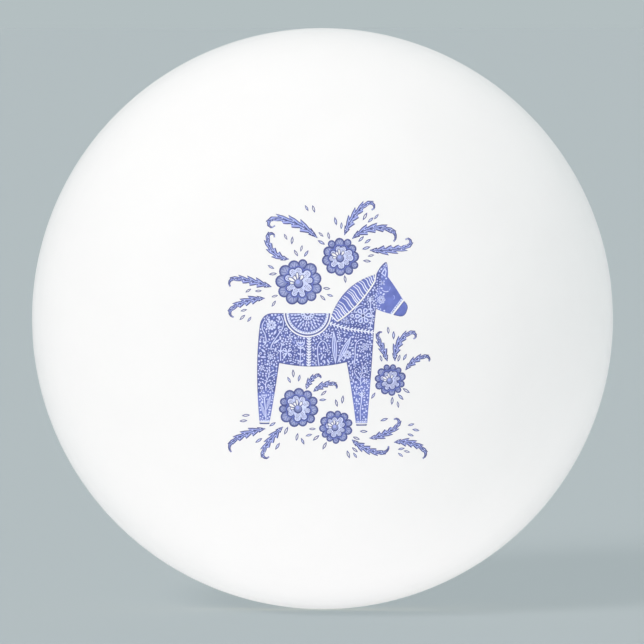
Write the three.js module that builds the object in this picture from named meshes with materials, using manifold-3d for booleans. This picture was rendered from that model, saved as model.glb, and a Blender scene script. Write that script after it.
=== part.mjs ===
// A table tennis ball with a folk-art print: two hollow half shells cemented at a lapped seam, and a
// blue ink picture of a dala horse among flowers and curled leaves on the front.
//
// Millimetres, +Z up. The origin is the ball's centre. The middle of the print lies on -Y, and the
// seam is the great circle in the XZ plane. A place on the print is (x, z) as seen from the front.

import * as THREE from "three";
import { mergeVertices } from "three/addons/utils/BufferGeometryUtils.js";
import Module from "manifold-3d";

// ---- Driving dimensions ----

const BALL_RADIUS = 20;
const WALL = 0.5;
const INNER_RADIUS = BALL_RADIUS - WALL;

const SEGMENTS = 48; // facets round the Y axis
const OUTER_STEP = 3.75; // degrees between rings of the printed half
const INNER_STEP = 7.5; // degrees between rings of every other surface

const SEAM_CHAMFER = 0.05; // each rim's share of the fine groove round the ball
const LAP_LENGTH = 1; // how far the back shell's tongue reaches into the front shell
const LAP_CLEARANCE = 0.02;
const LAP_RADIUS = BALL_RADIUS - WALL / 2;

const BEAD_RADIUS = INNER_RADIUS - 0.08; // the cement lies just inside the wall
const BEAD_HEIGHT = 0.18;
const BEAD_WIDTH = 1;

const INK_LIFT = 0.01; // the ink film's underside above the shell
const INK_THICKNESS = 0.03;
const PRINT_ANGLE = 33.75; // degrees off -Y that the print stays within
const INK_GAP = 0.07; // bare plastic between neighbouring parts of the horse

const BACK_Z = 1.17; // the horse's level back
const SADDLE = { x: -1.35, z: BACK_Z, radius: 1.56 };
const HIND_SOLE_Z = -6.24;
const FORE_SOLE_Z = -6.34;
const HOOF_HEIGHT = 0.1;
const LEG_END = HOOF_HEIGHT + INK_GAP; // where a leg's ink ends, above its sole

const FLOWER_PETALS = 12;
const FLOWER_NOTCH = 0.13; // depth of the notch between petals, as a share of the radius

const LEAF_STATIONS = 18; // places along a leaf's midline
const LEAF_TIP = 0.045; // half the width of the curled end
const LEAF_SLENDER = 0.11; // half the width of the shortest leaf, and what each millimetre adds
const LEAF_SPREAD = 0.028;
const CURL_START = 0.65; // share of the length after which a leaf curls up

// Each flower's centre and radius.
const FLOWERS = {
  upper_left: { x: -1.9, z: 3.22, radius: 1.58 },
  top: { x: 0.85, z: 4.87, radius: 1.32 },
  right: { x: 4.13, z: -3.28, radius: 1.08 },
  lower_left: { x: -1.93, z: -5.13, radius: 1.4 },
  lower_middle: { x: 0.52, z: -6.4, radius: 1.17 },
};

// Each leaf: its pointed base, the heading it leaves in, its length, the even bend along it and the
// curl at its end. Angles are in degrees, anticlockwise from +X.
const LEAVES = [
  { x: -0.65, z: 6.1, heading: 135, length: 4.45, bend: 55, curl: 245 },
  { x: -2.55, z: 4.73, heading: 180, length: 3.05, bend: -120, curl: -180 },
  { x: -3.7, z: 2.9, heading: 163, length: 3.3, bend: 10, curl: 150 },
  { x: -4.15, z: 2.15, heading: 181, length: 3.1, bend: 42, curl: 140 },
  { x: 1.1, z: 6.28, heading: 73, length: 3.6, bend: -50, curl: -205 },
  { x: 1.6, z: 6.05, heading: 45, length: 3.75, bend: -85, curl: -105 },
  { x: 2.75, z: 5.32, heading: -5, length: 3.5, bend: 25, curl: 220 },
  { x: 3.95, z: -2.05, heading: 108, length: 2.3, bend: 12, curl: -150 },
  { x: 4.45, z: -2.05, heading: 98, length: 3.1, bend: -95, curl: -180 },
  { x: 5.15, z: -2.65, heading: 58, length: 2.2, bend: -60, curl: -130 },
  { x: -1.43, z: -3.88, heading: 80, length: 1.6, bend: -70, curl: -120 },
  { x: -0.97, z: -4.05, heading: 46, length: 1.95, bend: -60, curl: -110 },
  { x: -4.1, z: -6.55, heading: 188, length: 3.25, bend: 38, curl: 100 },
  { x: -2.95, z: -6.4, heading: 221, length: 3, bend: 30, curl: 180 },
  { x: 2.75, z: -7.2, heading: 5, length: 2.9, bend: 50, curl: 180 },
  { x: 1.6, z: -7.27, heading: -44, length: 3, bend: 50, curl: 100 },
  { x: 4.4, z: -7.5, heading: 10, length: 2.9, bend: -65, curl: -110 },
];

// ---- Materials ----

const shellPlastic = new THREE.MeshStandardMaterial({ color: 0xf6f6f3, roughness: 0.38 });
const cement = new THREE.MeshStandardMaterial({ color: 0xe9e4d4, roughness: 0.5 });
const blueInk = new THREE.MeshStandardMaterial({ color: 0x6574c4, roughness: 0.45 });

// ---- Solids ----

const wasm = await Module();
wasm.setup();

function toSolid(geometry) {
  geometry.deleteAttribute("normal");
  geometry.deleteAttribute("uv");
  const merged = mergeVertices(geometry);
  const mesh = new wasm.Mesh({
    numProp: 3,
    vertProperties: merged.attributes.position.array,
    triVerts: new Uint32Array(merged.index.array),
  });
  return new wasm.Manifold(mesh);
}

function toGeometry(solid) {
  const mesh = solid.getMesh();
  return new THREE.BufferGeometry()
    .setAttribute("position", new THREE.BufferAttribute(mesh.vertProperties, 3))
    .setIndex(new THREE.BufferAttribute(mesh.triVerts, 1));
}

function named(name, geometry, material) {
  const mesh = new THREE.Mesh(geometry, material);
  mesh.name = name;
  return mesh;
}

const radians = THREE.MathUtils.degToRad;

// Points (r, y) along a sphere's section, from one angle off -Y to another.
function arc(radius, from, to, step) {
  const count = Math.round(Math.abs(to - from) / step);
  return Array.from({ length: count + 1 }, (_, i) => {
    const angle = radians(from + ((to - from) * i) / count);
    return new THREE.Vector2(radius * Math.sin(angle), -radius * Math.cos(angle));
  });
}

function revolved(profile) {
  return new THREE.LatheGeometry(profile, SEGMENTS);
}

// The angle off the -Y axis at which a sphere's inner surface reaches a given distance from the seam.
function innerAngle(depth) {
  return 90 - THREE.MathUtils.radToDeg(Math.asin(depth / INNER_RADIUS));
}

// ---- The ball ----

// The printed half: its rim is the outer half of the wall, and the back shell's tongue fits behind it.
function frontShell() {
  const recess = LAP_LENGTH + LAP_CLEARANCE;
  const outer = arc(BALL_RADIUS, 0, 90, OUTER_STEP).slice(0, -1);
  const rim = [
    new THREE.Vector2(BALL_RADIUS, -SEAM_CHAMFER),
    new THREE.Vector2(BALL_RADIUS - SEAM_CHAMFER, 0),
    new THREE.Vector2(LAP_RADIUS + LAP_CLEARANCE, 0),
    new THREE.Vector2(LAP_RADIUS + LAP_CLEARANCE, -recess),
  ];
  const inner = arc(INNER_RADIUS, innerAngle(recess), 0, INNER_STEP);
  return revolved([...outer, ...rim, ...inner]);
}

// The plain half, with a tongue that slides inside the front shell's rim.
function backShell() {
  const inner = arc(INNER_RADIUS, 180, 90, INNER_STEP);
  const rim = [
    new THREE.Vector2(LAP_RADIUS, -LAP_LENGTH),
    new THREE.Vector2(LAP_RADIUS, 0),
    new THREE.Vector2(BALL_RADIUS - SEAM_CHAMFER, 0),
    new THREE.Vector2(BALL_RADIUS, SEAM_CHAMFER),
  ];
  const tongueRoot = new THREE.Vector2(INNER_RADIUS * Math.sin(radians(innerAngle(LAP_LENGTH))), -LAP_LENGTH);
  const outer = arc(BALL_RADIUS, 90, 180, INNER_STEP).slice(1);
  return revolved([...inner, tongueRoot, ...rim, ...outer]);
}

// The low ring of squeezed-out cement inside the ball, over the tongue's end.
function cementBead() {
  const half = BEAD_WIDTH / 2;
  const crown = BEAD_RADIUS - BEAD_HEIGHT;
  const section = [
    new THREE.Vector2(BEAD_RADIUS, -LAP_LENGTH - half),
    new THREE.Vector2(BEAD_RADIUS, -LAP_LENGTH + half),
    new THREE.Vector2(crown + 0.03, -LAP_LENGTH + half * 0.6),
    new THREE.Vector2(crown, -LAP_LENGTH),
    new THREE.Vector2(crown + 0.03, -LAP_LENGTH - half * 0.6),
  ];
  return revolved([...section, section[0]]);
}

// ---- The print ----

// The thin layer over the front of the ball from which every ink film is cut.
const inkUnderside = BALL_RADIUS + INK_LIFT;
const inkLayer = toSolid(
  revolved([
    ...arc(inkUnderside + INK_THICKNESS, 0, PRINT_ANGLE, OUTER_STEP),
    ...arc(inkUnderside, PRINT_ANGLE, 0, OUTER_STEP),
  ]),
);

// An outline drawn on the front becomes a film of ink that follows the ball.
function inkFilm(name, outline) {
  const prism = new THREE.ExtrudeGeometry(new THREE.Shape(outline), {
    depth: BALL_RADIUS + WALL,
    bevelEnabled: false,
  });
  prism.rotateX(Math.PI / 2);
  return named(name, toGeometry(toSolid(prism).intersect(inkLayer)), blueInk);
}

// The horse's trunk, legs, neck, head and ear, without the parts that bare lines set apart.
function horseBody() {
  const s = new THREE.Shape();
  s.moveTo(-3.7, BACK_Z);
  s.lineTo(SADDLE.x - SADDLE.radius, BACK_Z);
  s.absarc(SADDLE.x, SADDLE.z, SADDLE.radius, Math.PI, radians(356), false);
  s.lineTo(0.66, 0.62);
  s.quadraticCurveTo(2.1, 1.55, 3.12, 3.2);
  s.lineTo(3.22, 3.76);
  s.quadraticCurveTo(3.45, 4.25, 3.78, 4.5);
  s.quadraticCurveTo(3.9, 4.58, 3.94, 4.42);
  s.quadraticCurveTo(4.02, 4, 3.98, 3.56);
  s.quadraticCurveTo(4.55, 2.8, 4.98, 2.04);
  s.lineTo(4.24, 1.1);
  s.quadraticCurveTo(3.7, 1.2, 3.2, 1.45);
  s.quadraticCurveTo(3.08, 0.6, 3.03, -0.2);
  s.quadraticCurveTo(2.85, -3.2, 2.62, FORE_SOLE_Z + LEG_END);
  s.lineTo(1.87, FORE_SOLE_Z + LEG_END);
  s.quadraticCurveTo(1.6, -4, 1.24, -2.07);
  s.quadraticCurveTo(-1, -2.62, -3.22, -2.13);
  s.quadraticCurveTo(-3.5, -4.1, -3.84, HIND_SOLE_Z + LEG_END);
  s.lineTo(-4.52, HIND_SOLE_Z + LEG_END);
  s.quadraticCurveTo(-4.86, -2.4, -4.5, 0.4);
  s.quadraticCurveTo(-4.35, 1.12, -3.7, BACK_Z);
  return s.getPoints(10);
}

function horseSaddle() {
  const s = new THREE.Shape();
  s.absarc(SADDLE.x, SADDLE.z, SADDLE.radius - INK_GAP, Math.PI, 2 * Math.PI, false);
  return s.getPoints(20);
}

function horseMane() {
  const s = new THREE.Shape();
  s.moveTo(0.24, 1.08);
  s.quadraticCurveTo(1.05, 3.15, 3.12, 3.72);
  s.quadraticCurveTo(3.1, 3.5, 3.05, 3.26);
  s.quadraticCurveTo(2.02, 1.58, 0.61, 0.69);
  return s.getPoints(12);
}

function horseMuzzle() {
  const s = new THREE.Shape();
  s.moveTo(5.05, 1.96);
  s.quadraticCurveTo(5.4, 1.66, 5.26, 1.36);
  s.quadraticCurveTo(5.12, 0.86, 4.72, 0.95);
  s.lineTo(4.33, 1.04);
  return s.getPoints(8);
}

function hoof(fromX, toX, soleZ) {
  const s = new THREE.Shape();
  const top = soleZ + HOOF_HEIGHT;
  s.moveTo(fromX, top);
  s.quadraticCurveTo((fromX + toX) / 2, top - HOOF_HEIGHT / 4, toX, top);
  s.lineTo(toX - 0.03, soleZ);
  s.lineTo(fromX + 0.03, soleZ);
  return s.getPoints(4);
}

// A round flower head whose edge swells at each petal.
function flowerOutline({ x, z, radius }) {
  const samples = FLOWER_PETALS * 4;
  return Array.from({ length: samples }, (_, i) => {
    const angle = (2 * Math.PI * i) / samples;
    const swell = Math.abs(Math.sin((FLOWER_PETALS / 2) * angle));
    const r = radius * (1 - FLOWER_NOTCH * (1 - swell));
    return new THREE.Vector2(x + r * Math.cos(angle), z + r * Math.sin(angle));
  });
}

// A leaf that leaves its base point, widens, bends evenly and curls up at its end.
function leafOutline({ x, z, heading, length, bend, curl }) {
  const halfWidth = LEAF_SLENDER + LEAF_SPREAD * length;
  const left = [new THREE.Vector2(x, z)];
  const right = [];
  const place = new THREE.Vector2(x, z);
  for (let i = 1; i <= LEAF_STATIONS; i++) {
    const share = i / LEAF_STATIONS;
    const middle = share - 0.5 / LEAF_STATIONS;
    const curled = Math.max(0, (middle - CURL_START) / (1 - CURL_START));
    const angle = radians(heading + bend * middle + curl * curled ** 2);
    const along = new THREE.Vector2(Math.cos(angle), Math.sin(angle));
    const across = new THREE.Vector2(-along.y, along.x);
    place.addScaledVector(along, length / LEAF_STATIONS);
    const half = LEAF_TIP + (halfWidth - LEAF_TIP) * Math.sin(Math.PI * share ** 0.65);
    left.push(place.clone().addScaledVector(across, half));
    right.unshift(place.clone().addScaledVector(across, -half));
  }
  return [...left, ...right];
}

// ---- The assembly ----

const ball = new THREE.Group();

ball.add(
  named("front_shell", frontShell(), shellPlastic),
  named("back_shell", backShell(), shellPlastic),
  named("cement_bead", cementBead(), cement),
  inkFilm("ink_horse_body", horseBody()),
  inkFilm("ink_horse_saddle", horseSaddle()),
  inkFilm("ink_horse_mane", horseMane()),
  inkFilm("ink_horse_muzzle", horseMuzzle()),
  inkFilm("ink_horse_hind_hoof", hoof(-4.53, -3.85, HIND_SOLE_Z)),
  inkFilm("ink_horse_fore_hoof", hoof(1.88, 2.61, FORE_SOLE_Z)),
);

for (const [place, flower] of Object.entries(FLOWERS)) {
  ball.add(inkFilm("ink_flower_" + place, flowerOutline(flower)));
}

LEAVES.forEach((leaf, i) => {
  const number = String(i + 1).padStart(2, "0");
  ball.add(inkFilm("ink_leaf_" + number, leafOutline(leaf)));
});

export default ball;
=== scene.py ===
"""The looks of a printed table tennis ball: a white two-part shell, and a blue ink picture of a dala
horse among flowers and curled leaves on its front.

The picture is drawn flat, in millimetres as seen from the front, and then laid on the ball as closed
films of ink. Every place in it comes from the CAD ink films, so each drawing fits the node it stands for.
"""

import math
import random

import bmesh
import bpy
import numpy as np
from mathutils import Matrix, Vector
from mathutils.geometry import delaunay_2d_cdt


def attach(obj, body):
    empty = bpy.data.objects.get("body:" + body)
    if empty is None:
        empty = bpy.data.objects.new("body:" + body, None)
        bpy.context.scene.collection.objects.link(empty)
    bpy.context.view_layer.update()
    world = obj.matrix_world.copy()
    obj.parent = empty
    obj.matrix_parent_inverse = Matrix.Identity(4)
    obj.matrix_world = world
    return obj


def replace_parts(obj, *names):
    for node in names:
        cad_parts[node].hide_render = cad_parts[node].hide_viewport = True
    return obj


MM = 0.001  # one millimetre in Blender's metres

# The ball's dimensions in millimetres, the same as in the CAD.
BALL_RADIUS = 20
WALL = 0.5
INNER_RADIUS = BALL_RADIUS - WALL
SEAM_CHAMFER = 0.05
LAP_LENGTH = 1
LAP_CLEARANCE = 0.02
LAP_RADIUS = BALL_RADIUS - WALL / 2

FILM_TOP = BALL_RADIUS + 0.008  # the ink's face
FILM_FOOT = BALL_RADIUS - 0.006  # its underside, just inside the plastic
FILM_GRID = 0.4  # the spacing of a film's inner points

# ---- The picture, drawn flat ----
# An outline is a list of (x, z) points in millimetres on the print, as seen from the front.
# A drawing is a list of outlines in painter's order, each with the tint that it lays down.

BARE = None
SLATE, INDIGO, ULTRAMARINE, COBALT = "slate", "indigo", "ultramarine", "cobalt"
DENIM, HEATHER, PERIWINKLE, LILAC, FROST = "denim", "heather", "periwinkle", "lilac", "frost"

# Each ink's darkest and lightest display colour.
TINT_COLOURS = {
    SLATE: ((58, 64, 122), (74, 80, 142)),
    INDIGO: ((68, 76, 138), (86, 95, 158)),
    ULTRAMARINE: ((82, 93, 162), (100, 112, 184)),
    COBALT: ((100, 113, 188), (120, 134, 210)),
    DENIM: ((124, 134, 182), (144, 154, 202)),
    HEATHER: ((158, 166, 206), (176, 184, 220)),
    PERIWINKLE: ((156, 167, 227), (174, 185, 240)),
    LILAC: ((206, 214, 249), (222, 229, 255)),
    FROST: ((230, 235, 252), (242, 245, 255)),
}


class Drawing:
    """Filled outlines in painter's order. Nothing is printed outside the border, where there is one."""

    def __init__(self, border=None):
        self.border = border
        self.shapes = []

    def fill(self, tint, outline):
        self.shapes.append((tint, outline))


def polar(x, z, heading, distance):
    angle = math.radians(heading)
    return x + distance * math.cos(angle), z + distance * math.sin(angle)


def disc(x, z, radius, sides=10):
    return [polar(x, z, 360 * i / sides, radius) for i in range(sides)]


def placed(x, z, heading, profile):
    """A profile of (along, across) points, set to start at (x, z) and run along the heading."""
    angle = math.radians(heading)
    cos, sin = math.cos(angle), math.sin(angle)
    return [(x + a * cos - b * sin, z + a * sin + b * cos) for a, b in profile]


def petal(x, z, heading, length, width, sides=12):
    """A teardrop with its point at (x, z) and its round end out along the heading."""
    profile = []
    for i in range(sides):
        turn = 2 * math.pi * i / sides
        share = (1 - math.cos(turn)) / 2
        profile.append((length * share, width * 0.65 * math.sin(turn) * share**0.6))
    return placed(x, z, heading, profile)


def almond(x, z, heading, length, width, sides=10):
    """A lens, pointed at both ends, that starts at (x, z)."""
    half = sides // 2
    upper = [(length * i / half, width / 2 * math.sin(math.pi * i / half)) for i in range(half + 1)]
    lower = [(a, -b) for a, b in reversed(upper[1:-1])]
    return placed(x, z, heading, upper + lower)


def catmull_rom(a, b, c, d, share):
    """The coordinate a share of the way from b to c, on a curve through a, b, c and d."""
    square = (2 * a - 5 * b + 4 * c - d) * share**2
    cube = (3 * b - a - 3 * c + d) * share**3
    return 0.5 * (2 * b + (c - a) * share + square + cube)


def smooth(points, steps=5):
    """A smooth curve through the points."""
    padded = [points[0]] + list(points) + [points[-1]]
    curve = []
    for four in zip(padded, padded[1:], padded[2:], padded[3:]):
        for i in range(steps):
            curve.append(tuple(catmull_rom(*values, i / steps) for values in zip(*four)))
    return curve + [tuple(points[-1])]


def bearing(start, end):
    """The direction from one point to another, in degrees."""
    return math.degrees(math.atan2(end[1] - start[1], end[0] - start[0]))


def headings(path):
    """The direction of a path at each of its points, in degrees."""
    last = len(path) - 1
    return [bearing(path[max(i - 1, 0)], path[min(i + 1, last)]) for i in range(last + 1)]


def ribbon(path, width, end_width=None):
    """The outline of a brush stroke along a path, which can grow thinner towards its end."""
    end_width = width if end_width is None else end_width
    left, right = [], []
    for i, (point, heading) in enumerate(zip(path, headings(path))):
        half = (width + (end_width - width) * i / (len(path) - 1)) / 2
        left.append(polar(*point, heading + 90, half))
        right.append(polar(*point, heading - 90, half))
    return left + right[::-1]


def arc_path(x, z, radius, start, end, steps=24):
    return [polar(x, z, start + (end - start) * i / steps, radius) for i in range(steps + 1)]


def between(a, b, share):
    return a[0] + (b[0] - a[0]) * share, a[1] + (b[1] - a[1]) * share


def extent(points):
    """The lowest and highest x, then the lowest and highest z."""
    xs, zs = zip(*points)
    return min(xs), max(xs), min(zs), max(zs)


# ---- Motifs that the horse is filled with ----


def stem(art, points, width=0.075):
    path = smooth(points)
    art.fill(LILAC, ribbon(path, width, width * 0.7))
    return path


def dots(art, radius, *places):
    for x, z in places:
        art.fill(LILAC, disc(x, z, radius, 8))


def rings(art, radius, *places):
    for x, z in places:
        art.fill(LILAC, disc(x, z, radius))
        art.fill(INDIGO, disc(x, z, radius * 0.45, 6))


def sprigs(art, width, *places):
    """Loose pointed leaves, each from (x, z) along a heading, with its length."""
    for x, z, heading, length in places:
        art.fill(LILAC, almond(x, z, heading, length, width))


def daisy(art, x, z, radius, petals, middle=INDIGO, turn=0):
    """Petals that stand apart round a ringed centre."""
    for i in range(petals):
        heading = turn + 360 * i / petals
        start = polar(x, z, heading, radius * 0.3)
        art.fill(LILAC, petal(*start, heading, radius * 0.7, radius * 0.5))
    art.fill(LILAC, disc(x, z, radius * 0.36))
    art.fill(middle, disc(x, z, radius * 0.2, 8))


def looped_flower(art, x, z, radius, petals, turn=0):
    """Petals drawn as open loops, round a dark centre."""
    for i in range(petals):
        heading = turn + 360 * i / petals
        start = polar(x, z, heading, radius * 0.22)
        art.fill(LILAC, petal(*start, heading, radius * 0.78, radius * 0.62))
        hollow = polar(x, z, heading, radius * 0.45)
        art.fill(COBALT, petal(*hollow, heading, radius * 0.4, radius * 0.26))
    art.fill(LILAC, disc(x, z, radius * 0.28))
    art.fill(SLATE, disc(x, z, radius * 0.18, 8))


def tulip(art, x, z, size):
    """A cup of three pointed petals that opens upwards from (x, z)."""
    for heading, length in ((52, 1.0), (128, 1.0), (90, 0.95)):
        art.fill(LILAC, almond(x, z, heading, size * length, size * 0.42))
    for heading in (52, 128):
        start = polar(x, z, heading, size * 0.3)
        art.fill(INDIGO, almond(*start, heading, size * 0.5, size * 0.16))
    art.fill(LILAC, disc(x, z, size * 0.17, 8))


def crown_tulip(art, x, z, size):
    """A half-round cup with a fringe of upright stamens."""
    art.fill(LILAC, arc_path(x, z, size, 180, 360, 12))
    art.fill(COBALT, arc_path(x, z - size * 0.12, size * 0.68, 190, 350, 10))
    art.fill(LILAC, arc_path(x, z - size * 0.16, size * 0.36, 180, 360, 8))
    for share in (-0.85, -0.42, 0, 0.42, 0.85):
        art.fill(LILAC, almond(x + size * share, z - 0.03, 90, size * 0.62, size * 0.2, 6))


def leaf_pairs(art, path, length, width, first, last, count, lean=50):
    """Pairs of small leaves along a stem, from one share of its length to another."""
    directions = headings(path)
    for i in range(count):
        share = first + (last - first) * i / (count - 1)
        index = min(int(share * len(path)), len(path) - 1)
        for side in (-1, 1):
            art.fill(LILAC, almond(*path[index], directions[index] + side * lean, length, width, 8))


def feather(art, start, end, half_width, pitch):
    """A spine with rows of slanting barbs, like an ear of wheat."""
    lean = 45
    heading = bearing(start, end)
    barb = half_width / math.sin(math.radians(lean))
    art.fill(FROST, ribbon([start, end], 0.075))
    count = int(math.dist(start, end) / pitch)
    for i in range(count):
        root = between(start, end, i / count)
        for side in (-1, 1):
            art.fill(FROST, almond(*root, heading + side * lean, barb, 0.1, 6))


def lance_leaf(art, base, tip, width):
    """A long pointed leaf with a dark line on each side of its midrib."""
    length = math.dist(base, tip)
    heading = bearing(base, tip)
    art.fill(LILAC, almond(*base, heading, length, width, 16))
    art.fill(COBALT, almond(*between(base, tip, 0.1), heading, length * 0.78, width * 0.62, 14))
    art.fill(LILAC, almond(*between(base, tip, 0.05), heading, length * 0.9, width * 0.24, 14))


def berry_branch(art, points, side_length, count):
    """A stem with side twigs in turn, each ending in a berry."""
    berry = 0.06
    path = stem(art, points, 0.06)
    directions = headings(path)
    for i in range(count):
        index = int((0.12 + 0.8 * i / count) * (len(path) - 1))
        side = 1 if i % 2 else -1
        heading = directions[index] + side * 42
        end = polar(*path[index], heading, side_length)
        art.fill(LILAC, ribbon([path[index], end], 0.05, 0.035))
        art.fill(LILAC, disc(*end, berry, 8))
    art.fill(LILAC, disc(*path[-1], berry, 8))


def beads(art, points, radius, pitch, tint=LILAC):
    """A string of separate round dots."""
    path = smooth(points, 16)
    travelled = pitch
    for before, after in zip(path, path[1:]):
        travelled += math.dist(before, after)
        if travelled >= pitch:
            art.fill(tint, disc(*after, radius, 7))
            travelled = 0


def inside(outline, x, z):
    """Whether a point lies inside an outline."""
    crossings = 0
    for (ax, az), (bx, bz) in zip(outline, outline[1:] + outline[:1]):
        if (az > z) != (bz > z) and x < ax + (z - az) * (bx - ax) / (bz - az):
            crossings += 1
    return crossings % 2 == 1


class Crowd:
    """Points already drawn, in square cells, so that new marks can keep clear of them."""

    CELL = 0.25
    SPACING = 0.05

    def __init__(self):
        self.cells = {}

    def cell_of(self, x, z):
        return math.floor(x / self.CELL), math.floor(z / self.CELL)

    def add_outline(self, outline):
        for a, b in zip(outline, outline[1:] + outline[:1]):
            pieces = max(1, math.ceil(math.dist(a, b) / self.SPACING))
            for i in range(pieces):
                point = between(a, b, i / pieces)
                self.cells.setdefault(self.cell_of(*point), []).append(point)

    def clear(self, x, z, distance):
        """Whether no point lies nearer than a distance, which is at most the cells' size."""
        column, row = self.cell_of(x, z)
        around = [(column + i, row + j) for i in (-1, 0, 1) for j in (-1, 0, 1)]
        others = (other for cell in around for other in self.cells.get(cell, ()))
        return all(math.dist(other, (x, z)) >= distance for other in others)


# The small marks that fill the ground between the motifs.
MARK_TRIES = 40000
MARK_RADII = (0.045, 0.085)
MARK_GAP = 0.022
DASH_SHARE = 0.45
PALER_SHARE = 0.8


def scatter_marks(art, motifs_from, keep_off):
    """Scatters dots and short dashes over the border's inside, clear of the motifs drawn so far."""
    chance = random.Random(7)
    crowd = Crowd()
    crowd.add_outline(art.border)
    motifs = [outline for _, outline in art.shapes[motifs_from:]]
    for outline in motifs:
        crowd.add_outline(outline)
    left, right, low, high = extent(art.border)
    for _ in range(MARK_TRIES):
        x = chance.uniform(left, right)
        z = chance.uniform(low, high)
        radius = chance.uniform(*MARK_RADII)
        turn = chance.uniform(0, 180)
        stretched = chance.random() < DASH_SHARE
        tint = LILAC if chance.random() < PALER_SHARE else PERIWINKLE
        if not crowd.clear(x, z, radius + MARK_GAP):
            continue
        if not inside(art.border, x, z) or inside(keep_off, x, z):
            continue
        if any(inside(outline, x, z) for outline in motifs):
            continue
        if stretched:
            mark = almond(*polar(x, z, turn + 180, radius * 1.4), turn, radius * 2.8, radius * 1.7, 6)
        else:
            mark = disc(x, z, radius, 7)
        art.fill(tint, mark)
        crowd.add_outline(mark)


# ---- The horse ----


def rimmed(border, tint, rim):
    """A drawing whose ground is filled and whose edge is inked darker."""
    art = Drawing(border)
    art.fill(tint, border)
    art.fill(INDIGO, ribbon(border + border[:1], rim))
    return art


def rump(art):
    stem(art, [(-3.75, -1.27), (-3.73, -0.94), (-3.3, -0.27), (-2.99, 0.22), (-2.96, 0.64), (-3.1, 1.0)])
    stem(art, [(-4.2, -0.95), (-4.09, -0.69), (-4.16, -0.24), (-4.33, 0.1), (-4.33, 0.42), (-4.15, 0.74)])
    daisy(art, -3.74, 0.38, 0.34, 9)
    daisy(art, -3.81, -1.71, 0.21, 8)
    sprigs(
        art, 0.14,
        (-3.62, -0.88, 38, 0.58), (-3.6, -0.3, 62, 0.42), (-3.42, 0.86, 20, 0.3),
        (-3.3, 0.1, 70, 0.28), (-4.42, -1.2, -40, 0.4), (-4.48, -1.75, 0, 0.42),
        (-3.52, -1.42, 75, 0.36), (-4.33, -0.72, -20, 0.26), (-3.12, -0.62, 100, 0.3),
        (-3.2, 0.68, 95, 0.28), (-4.05, 0.78, -15, 0.24),
    )
    rings(art, 0.09, (-4.45, -1.5))
    rings(art, 0.12, (-2.78, 0.1))
    rings(art, 0.1, (-3.17, 0.02))
    rings(art, 0.08, (-4.4, -0.42))


def flank(art):
    path = stem(art, [(-3.13, -1.98), (-3.13, -1.27), (-3.01, -0.89), (-2.8, -0.69)])
    leaf_pairs(art, path, 0.22, 0.1, 0.25, 0.95, 3)
    daisy(art, -2.52, -0.43, 0.22, 5, turn=20)
    for heading in (48, 135, 220, 315):
        art.fill(LILAC, petal(-2.68, -1.43, heading, 0.38, 0.24))
        inner = polar(-2.68, -1.43, heading, 0.2)
        art.fill(INDIGO, petal(*inner, heading, 0.13, 0.09))
    beads(art, [(-2.43, -0.9), (-2.2, -1.14), (-2.2, -1.51), (-2.28, -1.85), (-2.32, -2.2)], 0.045, 0.14)
    crown_tulip(art, -1.81, -0.74, 0.29)
    path = stem(art, [(-1.81, -1.0), (-1.82, -1.6), (-1.85, -2.3)])
    leaf_pairs(art, path, 0.27, 0.11, 0.2, 0.8, 3, lean=125)
    feather(art, (-1.27, -2.34), (-1.25, -0.42), 0.17, 0.17)
    stem(art, [(-0.59, -2.3), (-0.68, -1.6), (-0.66, -1.0), (-0.4, -0.66), (-0.14, -0.8), (-0.03, -1.12)])
    daisy(art, -0.05, -1.28, 0.16, 5)
    sprigs(
        art, 0.12,
        (-0.3, -1.25, 80, 0.3), (-0.48, -1.95, 70, 0.36), (0.12, -2.2, 118, 0.42),
        (-0.2, -2.2, 100, 0.3), (-2.0, 0.0, 60, 0.24), (-2.95, -1.85, 60, 0.24),
        (-2.6, -2.0, 15, 0.24), (-1.0, -0.5, -60, 0.26), (-1.02, -1.0, -70, 0.22),
    )
    daisy(art, -0.07, -0.31, 0.2, 7)
    rings(art, 0.07, (-0.95, -1.55), (-0.92, -1.85), (-0.85, -2.12))
    rings(art, 0.07, (-0.32, -1.6), (-0.3, -2.0), (-0.95, -1.28))


def shoulder(art):
    lance_leaf(art, (0.5, -2.2), (0.37, 0.04), 0.34)
    lance_leaf(art, (0.62, -2.12), (1.55, -0.34), 0.33)
    daisy(art, 0.73, -0.17, 0.18, 5)
    daisy(art, 0.85, -0.56, 0.18, 5, turn=30)
    daisy(art, 1.28, -1.57, 0.29, 9, middle=SLATE)
    arch = [(1.72, -2.3), (1.8, -1.68), (1.8, -1.2), (1.88, -0.81), (2.09, -0.6), (2.34, -0.56), (2.5, -0.69)]
    stem(art, arch, 0.07)
    looped_flower(art, 2.46, -1.05, 0.27, 6)
    beads(art, [(1.98, -0.44), (2.3, -0.36), (2.62, -0.5)], 0.05, 0.2)
    dots(art, 0.075, (2.01, -1.31), (2.13, -1.64), (2.09, -1.02))
    dots(art, 0.075, (1.94, -1.58), (2.79, -0.75), (2.2, -0.78))
    sprigs(
        art, 0.11,
        (2.62, -1.75, 88, 0.3), (2.3, -1.85, 60, 0.24), (1.5, -1.0, 40, 0.3),
        (1.35, -1.15, 15, 0.26), (1.6, -2.2, 75, 0.3), (1.5, -2.6, 82, 0.3),
        (1.62, -3.05, 86, 0.32), (1.0, -2.0, 50, 0.24), (2.8, -1.35, 95, 0.26),
    )


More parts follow.
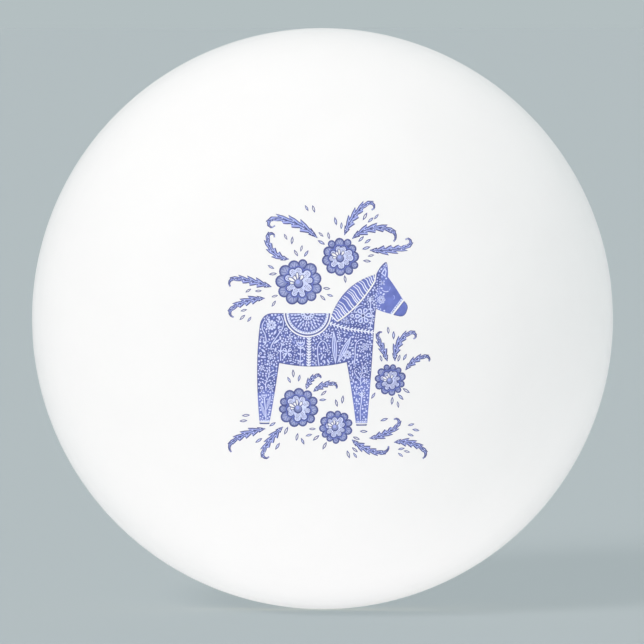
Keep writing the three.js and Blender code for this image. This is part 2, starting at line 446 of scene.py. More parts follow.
def neck(art):
    feather(art, (0.12, 0.5), (1.26, 0.15), 0.17, 0.21)
    feather(art, (1.26, 0.15), (3.06, -0.12), 0.17, 0.21)
    looped_flower(art, 2.32, 1.01, 0.54, 6, turn=5)
    looped_flower(art, 1.18, 0.68, 0.22, 5)
    rings(art, 0.13, (1.6, 1.0))
    rings(art, 0.11, (1.62, 0.58))
    stem(art, [(1.72, 1.2), (1.85, 1.5), (2.1, 1.66), (2.3, 1.68)], 0.07)
    tulip(art, 2.8, 1.92, 0.36)
    path = stem(art, [(2.84, 1.86), (2.82, 1.4), (2.94, 0.95), (2.84, 0.5), (2.8, 0.15)])
    leaf_pairs(art, path, 0.2, 0.11, 0.2, 0.9, 4)
    beads(art, [(2.35, 2.0), (2.6, 2.5), (2.95, 2.95), (3.2, 3.35)], 0.05, 0.17)
    beads(art, [(1.2, 0.35), (1.9, 0.36), (2.6, 0.2)], 0.04, 0.18)


def head(art):
    art.fill(LILAC, [(3.8, 4.2), (3.9, 3.95), (3.82, 3.55), (3.52, 3.78)])
    art.fill(COBALT, [(3.78, 4.02), (3.82, 3.9), (3.76, 3.68), (3.63, 3.8)])
    looped_flower(art, 3.63, 3.17, 0.19, 4, turn=45)
    looped_flower(art, 3.53, 2.05, 0.28, 7)
    art.fill(LILAC, ribbon(smooth([(3.61, 2.7), (3.72, 2.61), (3.88, 2.58), (4.02, 2.62)]), 0.045, 0.07))
    art.fill(PERIWINKLE, ribbon(smooth([(4.06, 2.66), (4.12, 2.78), (4.12, 2.92)]), 0.05, 0.03))
    art.fill(PERIWINKLE, ribbon(smooth([(4.36, 2.35), (4.42, 2.2), (4.36, 2.06)]), 0.06, 0.03))
    beads(art, [(3.3, 3.5), (3.25, 3.1), (3.3, 2.7), (3.15, 2.3), (3.2, 1.8), (3.3, 1.55)], 0.05, 0.17)
    beads(art, [(3.45, 3.42), (3.42, 2.95), (3.42, 2.6)], 0.035, 0.14)
    art.fill(LILAC, ribbon([(4.92, 2.06), (4.2, 1.12)], 0.15))
    beads(art, [(4.86, 1.98), (4.24, 1.17)], 0.035, 0.12, tint=INDIGO)


def hind_leg(art):
    daisy(art, -4.38, -2.46, 0.2, 7)
    branch = [(-4.09, -4.0), (-4.12, -3.54), (-3.95, -3.1), (-3.84, -2.75), (-3.87, -2.45)]
    berry_branch(art, branch, 0.3, 8)
    rings(art, 0.12, (-4.38, -3.8))
    daisy(art, -3.77, -3.76, 0.19, 6)
    crown_tulip(art, -4.21, -4.28, 0.19)
    stem(art, [(-4.2, -4.45), (-4.16, -4.92), (-4.09, -5.48), (-4.1, -6.0)])
    lance_leaf(art, (-4.1, -5.85), (-4.47, -4.75), 0.18)
    lance_leaf(art, (-4.06, -5.3), (-3.79, -4.3), 0.19)
    dots(art, 0.06, (-3.82, -5.1), (-3.87, -5.45), (-3.86, -5.75))
    dots(art, 0.06, (-4.45, -5.3), (-4.44, -5.6), (-3.72, -2.2))
    leg_end(art, -4.16, -6.02, 0.34)


def fore_leg(art):
    berry_branch(art, [(2.17, -3.6), (2.17, -3.16), (2.28, -2.67), (2.26, -2.15)], 0.32, 7)
    stem(art, [(2.1, -3.2), (1.88, -2.95), (1.75, -2.7), (1.9, -2.5), (2.05, -2.62)], 0.055)
    daisy(art, 2.5, -3.36, 0.19, 6)
    daisy(art, 2.56, -2.7, 0.16, 5)
    tulip(art, 2.25, -4.38, 0.4)
    stem(art, [(2.24, -4.38), (2.22, -4.8), (2.15, -5.3), (2.18, -5.95)], 0.075)
    for i, z in enumerate((-3.45, -3.85, -4.3, -4.75)):
        art.fill(LILAC, almond(1.72 + 0.05 * i, z, 105 - 25 * (i % 2), 0.3, 0.12))
    dots(art, 0.065, (2.42, -4.62), (2.58, -4.75), (2.47, -4.95))
    dots(art, 0.065, (2.42, -5.45), (2.4, -5.75), (2.0, -4.7))
    rings(art, 0.06, (1.95, -5.15), (1.98, -5.45), (2.5, -5.2), (1.96, -5.75))
    leg_end(art, 2.24, -6.08, 0.34)


def leg_end(art, x, z, half_width):
    """The pale band above a hoof, with five dark dots."""
    art.fill(LILAC, ribbon([(x - half_width, z), (x + half_width, z)], 0.13))
    for i in range(5):
        art.fill(INDIGO, disc(x + half_width * (i - 2) / 2.4, z + 0.02 * (i % 2), 0.028, 6))


def paler_grounds(art):
    """The face and the lower legs are printed lighter than the rest of the body."""
    below_hooves = -7
    cheek = [(3.1, 2.2), (3.25, 2.75), (3.5, 3.3), (3.9, 4.4), (6, 3), (5, 0.5), (3.6, 0.9), (3.25, 1.5)]
    art.fill(COBALT, smooth(cheek))
    for x, z in ((-4.2, -4.1), (2.2, -3.3)):
        uneven_top = [(x - 1, z - 0.2), (x - 0.3, z), (x + 0.1, z + 0.25), (x + 1, z - 0.1)]
        art.fill(COBALT, uneven_top + [(x + 1, below_hooves), (x - 1, below_hooves)])


# The bare gap between the parts of the horse, and the pale hem along it, in millimetres.
GAP = 0.07
HEM = 0.03


def horse_body(border, trappings):
    """The body's ink, with a pale hem along the gaps round the trappings that lie on it."""
    art = rimmed(border, ULTRAMARINE, 0.08)
    paler_grounds(art)
    for trapping in trappings:
        art.fill(FROST, ribbon(trapping + trapping[:1], 2 * (GAP + HEM)))
    motifs_from = len(art.shapes)
    for part in (rump, flank, shoulder, neck, head, hind_leg, fore_leg):
        part(art)
    face = [(3.55, 2.9), (3.95, 3.5), (5.0, 2.0), (4.3, 1.1), (3.35, 1.5), (3.75, 2.3)]
    scatter_marks(art, motifs_from, keep_off=face)
    return art


def horse_saddle(border):
    """A half-round saddle cloth: a dashed hem, a beaded band, and rays round half a daisy."""
    left, right, _, top = extent(border)
    x, radius = (left + right) / 2, (right - left) / 2
    art = Drawing(border)
    art.fill(ULTRAMARINE, border)

    def ring_of(count, reach):
        """Even places round the lower half of the cloth, with their headings."""
        turns = [180 + 180 * (i + 0.5) / count for i in range(count)]
        return [(turn, polar(x, top, turn, radius * reach)) for turn in turns]

    for heading, place in ring_of(34, 0.965):
        art.fill(INDIGO, almond(*polar(*place, heading - 90, 0.05), heading + 90, 0.1, 0.08, 6))
    art.fill(LILAC, ribbon(arc_path(x, top, radius * 0.88, 178, 362, 48), 0.17))
    art.fill(FROST, ribbon(arc_path(x, top, radius * 0.9, 178, 362, 48), 0.09))
    for heading, place in ring_of(23, 0.865):
        art.fill(INDIGO, disc(*place, 0.03, 6))
    chance = random.Random(11)
    for reach, count in ((0.68, 15), (0.53, 12), (0.4, 10)):
        for heading, place in ring_of(count, reach):
            length = chance.uniform(0.16, 0.26)
            start = polar(*polar(*place, heading + 90, chance.uniform(-0.04, 0.04)), heading, -length / 2)
            art.fill(LILAC, petal(*start, heading, length, 0.12, 10))
    for reach, count in ((0.765, 21), (0.61, 14), (0.46, 11)):
        for heading, place in ring_of(count, reach):
            art.fill(PERIWINKLE, disc(*place, chance.uniform(0.03, 0.045), 6))
    for heading, place in ring_of(7, 0.09):
        art.fill(LILAC, petal(*place, heading, 0.34, 0.21))
        art.fill(INDIGO, petal(*polar(*place, heading, 0.12), heading, 0.15, 0.08, 8))
    art.fill(INDIGO, disc(x, top, 0.17, 12))
    art.fill(LILAC, disc(x, top, 0.08, 10))
    return art


# How far along the crest each of the mane's strands starts, from 0 at the withers to 1 at the ears.
STRANDS = (0.03, 0.08, 0.12, 0.17, 0.2, 0.25, 0.33, 0.37, 0.45, 0.48)
STRANDS += (0.52, 0.59, 0.63, 0.7, 0.74, 0.81, 0.86, 0.9, 0.95)


def horse_mane(border):
    """Groups of fine pale strands that sweep from the crest down to the neck."""
    art = rimmed(border, COBALT, 0.07)
    crest = smooth([(0.2, 1.1), (0.72, 1.91), (1.45, 2.75), (2.2, 3.38), (3.1, 3.76)], 24)
    roots = smooth([(0.6, 0.7), (1.47, 1.28), (2.15, 2.03), (2.65, 2.62), (3.22, 3.52)], 24)
    for share in STRANDS:
        top, root = along(crest, share), along(roots, share)
        upper, lower = between(top, root, 0.35), between(top, root, 0.7)
        waved = [top, (upper[0] + 0.04, upper[1] + 0.07), (lower[0] - 0.01, lower[1] + 0.03), root]
        art.fill(FROST, ribbon(smooth(waved), 0.05, 0.075))
    return art


def horse_muzzle(border):
    return rimmed(border, COBALT, 0.09)


def hoof(border):
    art = Drawing(border)
    art.fill(INDIGO, border)
    return art


# ---- Flowers ----


def outer_petal(art, x, z, heading, reach, size):
    """A round petal with a dark rim, and pale and dark brush strokes that fan out from its root."""
    lobe = polar(x, z, heading, reach - size)
    art.fill(INDIGO, disc(*lobe, size, 16))
    art.fill(DENIM, disc(*polar(*lobe, heading + 180, 0.02), size - 0.085, 14))
    root = polar(*lobe, heading + 180, size * 0.45)
    for lean in (-42, -14, 14, 42):
        art.fill(HEATHER, almond(*root, heading + lean, size * (1.25 - abs(lean) / 160), size * 0.3, 8))
    for lean in (-28, 28):
        art.fill(ULTRAMARINE, almond(*root, heading + lean, size * 0.85, 0.05, 6))


def petal_ring(art, x, z, radius, turn, chance):
    """Eleven outer petals of mixed sizes, side by side round the flower, the large ones on top."""
    art.fill(INDIGO, disc(x, z, radius * 0.78, 24))
    petals = []
    heading = turn
    sizes = [radius * chance.choice((0.2, 0.23, 0.26, 0.28)) for _ in range(11)]
    scale = 360 / sum(sizes)
    for size in sizes:
        heading += size * scale / 2
        petals.append((heading, radius * chance.uniform(0.96, 1.04), size))
        heading += size * scale / 2
    for heading, reach, size in sorted(petals, key=lambda entry: entry[2]):
        outer_petal(art, x, z, heading, reach, size)


def inner_rosette(art, x, z, radius, turn, chance):
    """Nine pale lobes with a dark edge and rows of fine specks."""
    lobes = []
    for i in range(9):
        heading = turn + 12 + 40 * i + chance.uniform(-7, 7)
        centre = polar(x, z, heading, radius * chance.uniform(0.42, 0.54))
        lobes.append((heading, centre, radius * chance.uniform(0.11, 0.16)))
    for tint, margin in ((COBALT, 0.13), (INDIGO, 0.07)):
        art.fill(tint, disc(x, z, radius * 0.4 + margin, 20))
        for _, centre, size in lobes:
            art.fill(tint, disc(*centre, size + margin, 12))
    for heading, centre, size in lobes:
        length = math.dist(centre, (x, z)) + size * 0.6
        art.fill(LILAC, disc(*centre, size, 12))
        art.fill(LILAC, almond(x, z, heading, length, size * 2.5, 10))
    for heading, _, _ in lobes:
        for i in range(5):
            for j in range(i % 2 + 2):
                across = (j - (i % 2 + 1) / 2) * 0.095
                speck = polar(*polar(x, z, heading, radius * (0.3 + 0.065 * i)), heading + 90, across)
                art.fill(SLATE, disc(*speck, 0.03, 5))


# The bud's bare petals: heading, length and width, the last two as shares of the bud's radius.
BUD_PETALS = ((176, 2.1, 0.5), (152, 2.7, 0.7), (124, 2.1, 0.6), (98, 2.6, 0.5), (62, 2.2, 0.7))


def bud(art, x, z, radius):
    """The half-open middle: a cup with a dark lip under a ragged fan of bare petals, most on its left."""
    for heading, reach, width in BUD_PETALS:
        art.fill(INDIGO, petal(x, z, heading, radius * reach, radius * (width + 0.35)))
        inner = polar(x, z, heading, radius * 0.8)
        art.fill(BARE, petal(*inner, heading, radius * (reach - 0.95), radius * width))
        fold = polar(x, z, heading + 8, radius * 1.2)
        art.fill(DENIM, almond(*fold, heading + 25, radius * (reach - 1.4), 0.035, 6))
    art.fill(INDIGO, disc(x, z - radius * 0.1, radius * 1.1, 16))
    art.fill(DENIM, disc(x, z + radius * 0.1, radius * 0.88, 16))
    art.fill(PERIWINKLE, disc(x - radius * 0.15, z + radius * 0.3, radius * 0.5, 12))


def middle_of(border):
    """The centre and the radius of a round outline."""
    left, right, low, high = extent(border)
    return (left + right) / 2, (low + high) / 2, (right - left + high - low) / 4


def flower(border, turn, number):
    """An open flower: round outer petals, a pale inner rosette and a half-open bud."""
    art = Drawing()
    chance = random.Random(number)
    x, z, radius = middle_of(border)
    petal_ring(art, x, z, radius, turn, chance)
    inner_rosette(art, x, z, radius, turn, chance)
    bud(art, x - radius * 0.03, z - radius * 0.05, radius * 0.19)
    return art


# How far each flower is turned, in degrees.
FLOWER_TURNS = {"upper_left": -5, "top": 20, "right": 35, "lower_left": 10, "lower_middle": 0}


# ---- Leaves ----


def rails(border):
    """The two sides of a leaf's outline, from its pointed base to its blunt tip."""
    count = len(border)
    area = sum(a[0] * b[1] - b[0] * a[1] for a, b in zip(border, border[1:] + border[:1]))
    loop = border if area > 0 else border[::-1]
    turns = []
    for i in range(count):
        before, here, after = loop[i - 1], loop[i], loop[(i + 1) % count]
        entering = math.atan2(here[1] - before[1], here[0] - before[0])
        leaving = math.atan2(after[1] - here[1], after[0] - here[0])
        turns.append((leaving - entering + math.pi) % (2 * math.pi) - math.pi)
    corners = sorted(range(count), key=lambda i: -turns[i])[:3]
    base = max(corners, key=lambda i: min(math.dist(loop[i], loop[j]) for j in corners if j != i))
    steps = sorted((i - base) % count for i in corners if i != base)
    right = [loop[(base + i) % count] for i in range(steps[0] + 1)]
    left = [loop[(base - i) % count] for i in range(count - steps[1] + 1)]
    return left, right


def along(path, share):
    """The point a given share of the way along a path."""
    lengths = [math.dist(a, b) for a, b in zip(path, path[1:])]
    left = share * sum(lengths)
    for (a, b), length in zip(zip(path, path[1:]), lengths):
        if left <= length:
            return between(a, b, left / length)
        left -= length
    return path[-1]


class LeafSpace:
    """Turns a place on a leaf, as shares of its length and half width, into a point."""

    def __init__(self, border):
        self.left, self.right = rails(border)

    def inset_at(self, share, side, across, inset):
        """A place on one side, drawn in towards the midline by a distance in millimetres."""
        half = math.dist(self.at(share, 1), self.at(share, -1)) / 2
        return self.at(share, side * (across - inset / half))

    def at(self, share, across):
        left, right = along(self.left, share), along(self.right, share)
        middle = between(left, right, 0.5)
        edge = left if across > 0 else right
        return between(middle, edge, abs(across))


TOOTHED_SHARE = 0.8  # the share of a leaf's length that has teeth, before the curl
LONG_LEAF = 2.6  # a leaf whose side is longer than this has five teeth, not four
LEAF_RIM = 0.072


def leaf(border):
    """A curled leaf with a saw-toothed edge, a dark rim and midrib, and a pale dot on each tooth."""
    space = LeafSpace(border)
    art = Drawing()
    length = sum(math.dist(a, b) for a, b in zip(space.left, space.left[1:]))
    teeth = 5 if length > LONG_LEAF else 4
    span = TOOTHED_SHARE / teeth
    art.fill(SLATE, leaf_edge(space, teeth, 0, 1) + leaf_edge(space, teeth, 0, -1)[::-1])
    for side in (1, -1):
        edge = leaf_edge(space, teeth, LEAF_RIM, side)
        midrib = [space.at(i / 16, side * 0.11) for i in range(1, 16)]
        art.fill(PERIWINKLE, edge + midrib[::-1])
        for i in range(teeth):
            root = space.at(span * (i + 0.35), side * 0.1)
            notch = space.at(span * (i + 1.05), side * 0.75)
            art.fill(SLATE, ribbon([root, notch], 0.035, 0.055))
            art.fill(LILAC, disc(*space.at(span * (i + 0.75), side * 0.42), 0.04, 6))
    return art


def leaf_edge(space, teeth, inset, side):
    """One side of a leaf from base to curled end: each tooth widens to a point and steps back in."""
    span = TOOTHED_SHARE / teeth
    profile = []
    for i in range(teeth):
        reach = 1 if i else 0.7  # the first tooth is slimmer, so that the base ends in a fine point
        profile += [
            (span * (i + 0.06), 0.7 * reach),
            (span * (i + 0.55), 1.22 * reach),
            (span * (i + 1.08), 1.68 * reach),
        ]
    profile += [(TOOTHED_SHARE + 0.025 * i, 1.12) for i in range(1, 9)]
    edge = [space.inset_at(share, side, across, inset) for share, across in profile]
    base = space.at(10 * span * inset, 0)
    return [base] + edge + [space.at(1, 0)]


# ---- Seeds ----

SEED_LENGTH = 0.5
SEED_SLIMNESS = 0.34
SEED_PITCH = 0.36
SEED_CLEARANCE = 0.04
FILLED_SHARE = 0.4

# How far a seed may stray from its place in the fan, tried in turn until it stands clear.
STRAYS = (0.05, 0.1, 0.15, 0.2, 0.25, 0.3, 0.35, 0.4)

# Fans of loose seeds round each flower: the heading from its middle, the distance and the number.
FANS = {
    "upper_left": (
        (86, 2.05, 3), (103, 2.9, 2), (152, 1.9, 3), (190, 3.1, 2), (212, 4.25, 3), (215, 2.0, 2),
        (249, 1.75, 1), (-23, 2.0, 3),
    ),
    "top": (
        (131, 1.75, 3), (93, 2.2, 2), (52, 3.2, 3), (30, 1.9, 3), (-3, 1.85, 2), (-72, 1.55, 2),
        (122, 3.75, 2),
    ),
    "right": (
        (89, 3.1, 2), (57, 1.6, 3), (119, 1.67, 2), (217, 1.34, 2), (-34, 1.4, 1), (-72, 1.5, 3),
    ),
    "lower_left": (
        (99, 2.1, 3), (25, 1.7, 2), (-88, 2.1, 2), (242, 1.9, 1), (213, 1.85, 3), (194, 3.6, 3),
        (217, 3.55, 1), (242, 3.1, 1),
    ),
    "lower_middle": (
        (76, 1.7, 3), (-16, 1.7, 2), (198, 1.65, 3), (241, 1.57, 1), (-56, 2.2, 3), (8, 3.4, 1),
        (-3, 5.2, 3), (-20, 4.9, 3),
    ),
}


def seed_outline(x, z, heading, length, slimness):
    return almond(*polar(x, z, heading + 180, length / 2), heading, length, length * slimness)


def clear_place(crowd, chance, flower_middle, turn, reach, heading, length):
    """A place near (turn, reach) from a flower's middle where a seed stands clear, or None."""
    for stray in STRAYS:
        distance = reach + chance.uniform(-stray, stray)
        place = polar(*flower_middle, turn + chance.uniform(-40, 40) * (stray - STRAYS[0]), distance)
        outline = seed_outline(*place, heading, length, SEED_SLIMNESS)
        if all(crowd.clear(*point, SEED_CLEARANCE) for point in outline):
            return place
    return None


def seeds(borders, neighbours):
    """The loose seeds, slim and outlined, each bare or filled with a pale tint.

    They stand in fans that point away from each flower, clear of one another and of the other drawings.
    """
    art = Drawing()
    chance = random.Random(3)
    crowd = Crowd()
    for neighbour in neighbours:
        for _, outline in neighbour.shapes:
            crowd.add_outline(outline)
    for name, fans in FANS.items():
        x, z, _ = middle_of(borders["ink_flower_" + name])
        for direction, reach, count in fans:
            step = math.degrees(SEED_PITCH / reach)
            for i in range(count):
                offset = i - (count - 1) / 2
                turn = direction + offset * step
                heading = turn + (offset * 14 + chance.uniform(-12, 12))
                length = SEED_LENGTH * chance.uniform(0.9, 1.2)
                filled = chance.random() < FILLED_SHARE
                zigzag = reach + (0.2 if i % 2 else -0.12)
                place = clear_place(crowd, chance, (x, z), turn, zigzag, heading, length)
                if place is None:
                    continue
                outline = seed_outline(*place, heading, length, SEED_SLIMNESS)
                art.fill(INDIGO, outline)
                art.fill(LILAC if filled else BARE, seed_outline(*place, heading, length * 0.6, 0.22))
                crowd.add_outline(outline)
    return art


# ---- Laying a drawing on the ball ----

WHOLE_HULL = 0  # the triangulation's setting that keeps every triangle
CUT_TOLERANCE = 1e-5
SHARP_ANGLE = 30  # an edge that turns by more than this is shaded as an edge


def cad_outline(node):
    """The outline of a CAD ink film as (x, z) points in millimetres, seen from the front."""
    mesh = node.data
    edges = set()
    for face in mesh.polygons:
        if face.normal.y < -0.5:
            corners = [tuple(mesh.vertices[i].co) for i in face.vertices]
            edges.update(zip(corners, corners[1:] + corners[:1]))
    following = {a: b for a, b in edges if (b, a) not in edges}
    first = min(following)
    loop = [first]
    while following[loop[-1]] != first:
        loop.append(following[loop[-1]])
    return [(x / MM, z / MM) for x, y, z in loop]


def covers(outline, x, z):
    """Which of the points (x, z) an outline winds round."""
    winding = np.zeros(len(x), int)
    for (ax, az), (bx, bz) in zip(outline, outline[1:] + outline[:1]):
        side = (bx - ax) * (z - az) - (x - ax) * (bz - az)
        winding += (az <= z) & (bz > z) & (side > 0)
        winding -= (az > z) & (bz <= z) & (side < 0)
    return winding != 0


def painted(outlines, x, z):
    """For each point, the number of the last outline that covers it, or -1."""
    result = np.full(len(x), -1)
    for number, outline in enumerate(outlines):
        left, right, low, high = extent(outline)
        near = np.flatnonzero((x >= left) & (x <= right) & (z >= low) & (z <= high))
        result[near[covers(outline, x[near], z[near])]] = number
    return result


def triangulated(art):
    """The drawing cut into triangles along every outline, and the tint of each triangle."""
    outlines = [outline for _, outline in art.shapes]
    points, edges = [], []
    for outline in outlines + ([art.border] if art.border else []):
        first = len(points)
        points += outline
        edges += [(first + i, first + (i + 1) % len(outline)) for i in range(len(outline))]
    points += grid_inside(points)
    vectors = [Vector(point) for point in points]
    places, _, faces, *_ = delaunay_2d_cdt(vectors, edges, [], WHOLE_HULL, CUT_TOLERANCE)
    places = np.array(places)
    faces = np.array(faces)
    x, z = places[faces].mean(axis=1).T
    numbers = painted(outlines, x, z)
    tints = [art.shapes[number][0] if number >= 0 else BARE for number in numbers]
    inked = np.array([tint is not BARE for tint in tints])
    if art.border:
        inked &= covers(art.border, x, z)
    tints = [tint for tint, kept in zip(tints, inked) if kept]
    return places, faces[inked], tints


def grid_inside(points):
    """Evenly spaced points over a drawing, so that the film bends with the ball between its outlines."""
    left, right, low, high = extent(points)
    columns, rows = np.arange(left, right, FILM_GRID), np.arange(low, high, FILM_GRID)
    return [(x, z) for x in columns[1:] for z in rows[1:]]


def ink_film(name, art, inks):
    """A closed film of ink on the ball, with a material for each tint of the drawing."""
    places, faces, tints = triangulated(art)
    used, corners = np.unique(faces, return_inverse=True)
    corners = corners.reshape(faces.shape)
    flat = places[used]
    vertices = []
    for radius in (FILM_TOP, FILM_FOOT):
        for x, z in flat:
            vertices.append((x * MM, -math.sqrt(radius**2 - x**2 - z**2) * MM, z * MM))
    shades = sorted(set(tints))
    top = [tuple(int(i) for i in face) for face in corners]
    foot = [tuple(i + len(flat) for i in reversed(face)) for face in top]
    materials = [shades.index(tint) for tint in tints] * 2
    sides = {}
    for face, material in zip(top, materials):
        for a, b in zip(face, face[1:] + face[:1]):
            sides[(a, b)] = material
    walls = []
    for (a, b), material in sides.items():
        if (b, a) not in sides:
            walls.append((b, a, a + len(flat), b + len(flat)))
            materials.append(material)
    mesh = bpy.data.meshes.new(name)
    mesh.from_pydata(vertices, [], top + foot + walls)
    for tint in shades:
        mesh.materials.append(inks[tint])
    mesh.polygons.foreach_set("material_index", materials)
    return placed_piece(name, mesh)


def placed_piece(name, mesh):
    """A smooth-shaded piece that rides with the ball and takes its finish from a material slot."""
    mesh.polygons.foreach_set("use_smooth", [True] * len(mesh.polygons))
    mesh.set_sharp_from_angle(angle=math.radians(SHARP_ANGLE))
    mesh.update()
    piece = bpy.data.objects.new(name, mesh)
    bpy.context.scene.collection.objects.link(piece)
    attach(piece, "root")
    return piece


def picture(borders):
    """Every drawing that stands for a CAD film, under the name of its node."""
    trappings = [borders["ink_horse_saddle"], borders["ink_horse_mane"]]
    drawings = {"ink_horse_body": horse_body(borders["ink_horse_body"], trappings)}
    others = {"saddle": horse_saddle, "mane": horse_mane, "muzzle": horse_muzzle}
    others.update({"hind_hoof": hoof, "fore_hoof": hoof})
    for part, draw in others.items():
        node = "ink_horse_" + part
        drawings[node] = draw(borders[node])
    for number, (name, turn) in enumerate(FLOWER_TURNS.items()):
        node = "ink_flower_" + name
        drawings[node] = flower(borders[node], turn, number)
    for node in sorted(borders):
        if node.startswith("ink_leaf_"):
            drawings[node] = leaf(borders[node])
    return drawings


def lay_picture(cad_nodes, inks):
    """Lays the print on the ball, each drawing in the place of its CAD film."""
    borders = {name: cad_outline(node) for name, node in cad_nodes.items() if name.startswith("ink_")}
    drawings = picture(borders)
    for node, art in drawings.items():
        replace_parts(ink_film(node + "_film", art, inks), node)
    ink_film("ink_seeds", seeds(borders, drawings.values()), inks)


# ---- The shells ----

LATHE_SEGMENTS = 256
OUTER_STEP = 1.5  # degrees between the points of a shell's section, outside and inside
INNER_STEP = 3


def lathe(name, profile):
    """A closed solid turned about the Y axis, from (radius, y) points in millimetres."""
    shape = bmesh.new()
    hoops = []
    for radius, y in profile:
        count = LATHE_SEGMENTS if radius > 0 else 1
        hoop = []
        for i in range(count):
            angle = 2 * math.pi * i / count
            place = (radius * math.cos(angle) * MM, y * MM, radius * math.sin(angle) * MM)
            hoop.append(shape.verts.new(place))
        hoops.append(hoop)
    for near, far in zip(hoops, hoops[1:]):
        for i in range(LATHE_SEGMENTS):
            near_pair = [near[i % len(near)], near[(i + 1) % len(near)]]
            far_pair = [far[(i + 1) % len(far)], far[i % len(far)]]
            shape.faces.new(list(dict.fromkeys(near_pair + far_pair)))
    bmesh.ops.recalc_face_normals(shape, faces=shape.faces)
    mesh = bpy.data.meshes.new(name)
    shape.to_mesh(mesh)
    shape.free()
    return mesh


def section(radius, start, end, step):
    """Points (radius, y) on a sphere's section, between two angles off the -Y axis, in degrees."""
    count = round(abs(end - start) / step)
    points = []
    for i in range(count + 1):
        angle = math.radians(start + (end - start) * i / count)
        points.append((max(0, radius * math.sin(angle)), -radius * math.cos(angle)))
    return points


def inner_angle(depth):
    """The angle off the -Y axis at which the inside of the wall is a given distance from the seam."""
    return 90 - math.degrees(math.asin(depth / INNER_RADIUS))


def front_shell(plastic):
    recess = LAP_LENGTH + LAP_CLEARANCE
    outer = [(0, -BALL_RADIUS)] + section(BALL_RADIUS, 0, 90, OUTER_STEP)[1:-1]
    rim = [
        (BALL_RADIUS, -SEAM_CHAMFER),
        (BALL_RADIUS - SEAM_CHAMFER, 0),
        (LAP_RADIUS + LAP_CLEARANCE, 0),
        (LAP_RADIUS + LAP_CLEARANCE, -recess),
    ]
    inner = section(INNER_RADIUS, inner_angle(recess), 0, INNER_STEP)[:-1] + [(0, -INNER_RADIUS)]
    return shell("front_shell_moulded", outer + rim + inner, plastic, "front_shell")


def back_shell(plastic):
    inner = [(0, INNER_RADIUS)] + section(INNER_RADIUS, 180, inner_angle(LAP_LENGTH), INNER_STEP)[1:]
    rim = [
        (LAP_RADIUS, -LAP_LENGTH),
        (LAP_RADIUS, 0),
        (BALL_RADIUS - SEAM_CHAMFER, 0),
        (BALL_RADIUS, SEAM_CHAMFER),
    ]
    outer = section(BALL_RADIUS, 90, 180, OUTER_STEP)[1:-1] + [(0, BALL_RADIUS)]
    return shell("back_shell_moulded", inner + rim + outer, plastic, "back_shell")


def shell(name, profile, plastic, node):
    mesh = lathe(name, profile)
    mesh.materials.append(plastic)
    piece = placed_piece(name, mesh)
    piece.visible_diffuse = False  # the floor takes no light bounced off the ball
    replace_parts(piece, node)
    return piece


# ---- Materials ----


def linear(display):
    """A display colour from 0 to 255, none of it near black, as the linear colour that a shader takes."""
    return [((value / 255 + 0.055) / 1.055) ** 2.4 for value in display] + [1]


def add_node(tree, kind, **settings):
    """A new shader node with its inputs set by name, where _ stands for a space."""
    node = tree.nodes.new("ShaderNode" + kind)
    for setting, value in settings.items():
        node.inputs[setting.replace("_", " ")].default_value = value
    return node


def noise(tree, scale, detail=3, roughness=0.5):
    """Noise over the object's own coordinates, in features per metre."""
    place = add_node(tree, "TexCoord")
    texture = add_node(tree, "TexNoise", Scale=scale, Detail=detail, Roughness=roughness)
    tree.links.new(place.outputs["Object"], texture.inputs["Vector"])
    return texture.outputs["Fac"]


def spread(tree, value, low, high):
    """A noise value stretched to run from low to high."""
    stretch = add_node(tree, "MapRange", From_Min=0.3, From_Max=0.7, To_Min=low, To_Max=high)
    tree.links.new(value, stretch.inputs["Value"])
    return stretch.outputs["Result"]


def blend_of(tree, value, first, second):
    """A colour that runs from the first to the second as a value runs from 0 to 1."""
    mix = add_node(tree, "Mix")
    mix.data_type = "RGBA"
    mix.inputs["A"].default_value = first
    mix.inputs["B"].default_value = second
    tree.links.new(value, mix.inputs["Factor"])
    return mix.outputs["Result"]


def new_material(name):
    material = bpy.data.materials.new(name)
    material.use_nodes = True
    return material, material.node_tree


def surface(name, first, second, patch, rough, grain, height):
    """A surface whose colour wanders between two, with uneven gloss and a fine grain.

    patch and grain are in features per metre, rough is the range of roughness, height in metres.
    """
    material, tree = new_material(name)
    shader = tree.nodes["Principled BSDF"]
    patches = spread(tree, noise(tree, patch, 4, 0.6), 0, 1)
    tree.links.new(blend_of(tree, patches, linear(first), linear(second)), shader.inputs["Base Color"])
    gloss = spread(tree, noise(tree, grain / 6), *rough)
    tree.links.new(gloss, shader.inputs["Roughness"])
    bump = add_node(tree, "Bump", Strength=1, Distance=height)
    tree.links.new(noise(tree, grain), bump.inputs["Height"])
    tree.links.new(bump.outputs["Normal"], shader.inputs["Normal"])
    return material


# ---- The studio ----

BACKDROP = linear((180, 191, 193))
FLOOR_COLOUR = (0.404, 0.462, 0.476, 1)
FLOOR_REACH = 40  # metres from the ball
LAMP_COLOUR = (1, 0.893, 0.878)

# Each light: azimuth from the front towards +X, elevation and width in degrees, and strength.
KEY_LIGHT = (-33, 30, 20, 1.0)
FILL_LIGHTS = {
    "low_left": (-60, -40, 90, 0.16),
    "low_right": (60, -40, 90, 0.39),
    "right": (75, 5, 90, 0.17),
    "side_left": (-120, 0, 60, 0.6),
    "back_left": (-150, 10, 60, 0.14),
    "back_right": (150, 10, 60, 0.78),
    "above": (0, 88, 90, 1.26),
    "below": (0, -88, 120, 1.8),
}
GLOSS_PANEL = (0, 0, 170, 1)

CAMERA_AZIMUTH = -1.04
CAMERA_ELEVATION = 2.35
CAMERA_DISTANCE = 0.5  # metres
CAMERA_AIM = (-0.034, 0, -0.234)  # millimetres
SENSOR_WIDTH = 36
FOCAL_LENGTH = 405.65


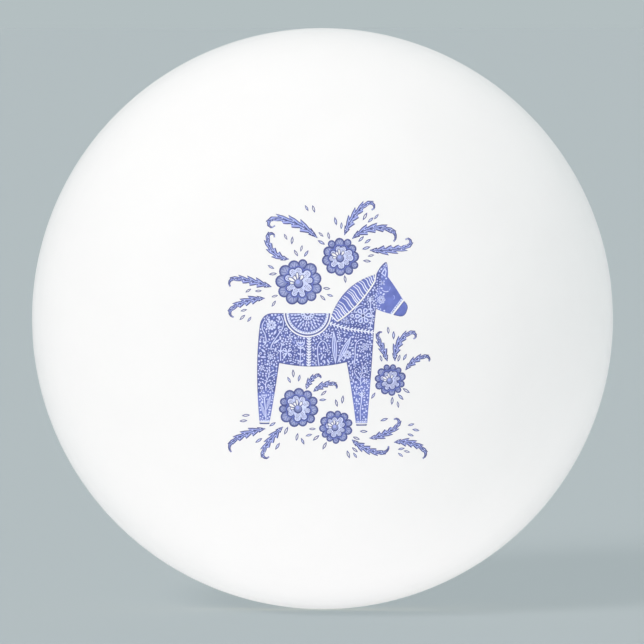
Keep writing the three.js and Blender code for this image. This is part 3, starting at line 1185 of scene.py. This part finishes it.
def studio_floor():
    """A wide level floor under the ball, which under these lights looks the same as the backdrop."""
    low = -BALL_RADIUS * MM
    mesh = bpy.data.meshes.new("floor")
    corners = [(FLOOR_REACH * i, FLOOR_REACH * j, low) for i, j in ((-1, -1), (1, -1), (1, 1), (-1, 1))]
    mesh.from_pydata(corners, [], [(0, 1, 2, 3)])
    material, tree = new_material("floor_paper")
    tree.nodes.remove(tree.nodes["Principled BSDF"])
    paper = add_node(tree, "BsdfDiffuse", Color=FLOOR_COLOUR)
    tree.links.new(paper.outputs["BSDF"], tree.nodes["Material Output"].inputs["Surface"])
    mesh.materials.append(material)
    floor = bpy.data.objects.new("floor", mesh)
    bpy.context.scene.collection.objects.link(floor)


def backdrop():
    world = bpy.data.worlds.new("studio")
    world.use_nodes = True
    world.node_tree.nodes["Background"].inputs["Color"].default_value = BACKDROP
    world.cycles.sampling_method = "NONE"
    bpy.context.scene.world = world


def soft_light(name, azimuth, elevation, width, strength):
    """A round light far away."""
    light = bpy.data.lights.new(name, "SUN")
    light.energy = strength
    light.angle = math.radians(width)
    light.color = LAMP_COLOUR
    light.cycles.use_multiple_importance_sampling = False
    lamp = bpy.data.objects.new(name, light)
    lamp.location = outward(azimuth, elevation)
    lamp.rotation_euler = lamp.location.to_track_quat("Z", "Y").to_euler()
    bpy.context.scene.collection.objects.link(lamp)
    return lamp


def lighting():
    """A key light that casts the one shadow, fills, and a wide panel for the gloss alone."""
    key = soft_light("key", *KEY_LIGHT)
    key.visible_glossy = False
    for name, settings in FILL_LIGHTS.items():
        fill = soft_light(name, *settings)
        fill.visible_glossy = False
        fill.data.use_shadow = False
    panel = soft_light("panel", *GLOSS_PANEL)
    panel.visible_diffuse = False
    panel.data.cycles.use_multiple_importance_sampling = True
    bpy.context.scene.view_settings.view_transform = "Standard"


def outward(azimuth, elevation, distance=1):
    """A point in a direction from the ball's centre: azimuth from the front towards +X."""
    around, up = math.radians(azimuth), math.radians(elevation)
    level = math.cos(up)
    return distance * Vector((math.sin(around) * level, -math.cos(around) * level, math.sin(up)))


def camera():
    """A long lens in front of the ball, a little above its middle."""
    lens = bpy.data.cameras.new("camera")
    lens.sensor_width = SENSOR_WIDTH
    lens.lens = FOCAL_LENGTH
    lens.clip_start = 0.05
    lens.clip_end = 100
    eye = bpy.data.objects.new("camera", lens)
    eye.location = outward(CAMERA_AZIMUTH, CAMERA_ELEVATION, CAMERA_DISTANCE)
    aim = Vector(CAMERA_AIM) * MM
    eye.rotation_euler = (eye.location - aim).to_track_quat("Z", "Y").to_euler()
    bpy.context.scene.collection.objects.link(eye)
    bpy.context.scene.camera = eye


# ---- The scene ----

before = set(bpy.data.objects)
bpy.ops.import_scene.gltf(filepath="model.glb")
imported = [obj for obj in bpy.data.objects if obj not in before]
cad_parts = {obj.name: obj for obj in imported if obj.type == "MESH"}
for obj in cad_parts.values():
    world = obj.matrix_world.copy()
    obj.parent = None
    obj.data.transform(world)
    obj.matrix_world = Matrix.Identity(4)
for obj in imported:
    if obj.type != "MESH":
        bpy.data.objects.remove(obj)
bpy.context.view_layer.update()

white_plastic = surface(
    "white_plastic", (246, 246, 245), (249, 249, 248), patch=60, rough=(0.24, 0.27), grain=3000, height=0.2e-6
)
dried_cement = surface(
    "dried_cement", (226, 220, 202), (238, 233, 218), patch=400, rough=(0.35, 0.6), grain=2500, height=10e-6
)
blue_inks = {
    tint: surface("ink_" + tint, dark, light, patch=1500, rough=(0.34, 0.48), grain=9000, height=0.8e-6)
    for tint, (dark, light) in TINT_COLOURS.items()
}

bead_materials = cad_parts["cement_bead"].data.materials
bead_materials.clear()
bead_materials.append(dried_cement)
front_shell(white_plastic)
back_shell(white_plastic)
lay_picture(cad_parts, blue_inks)

backdrop()
studio_floor()
lighting()
camera()
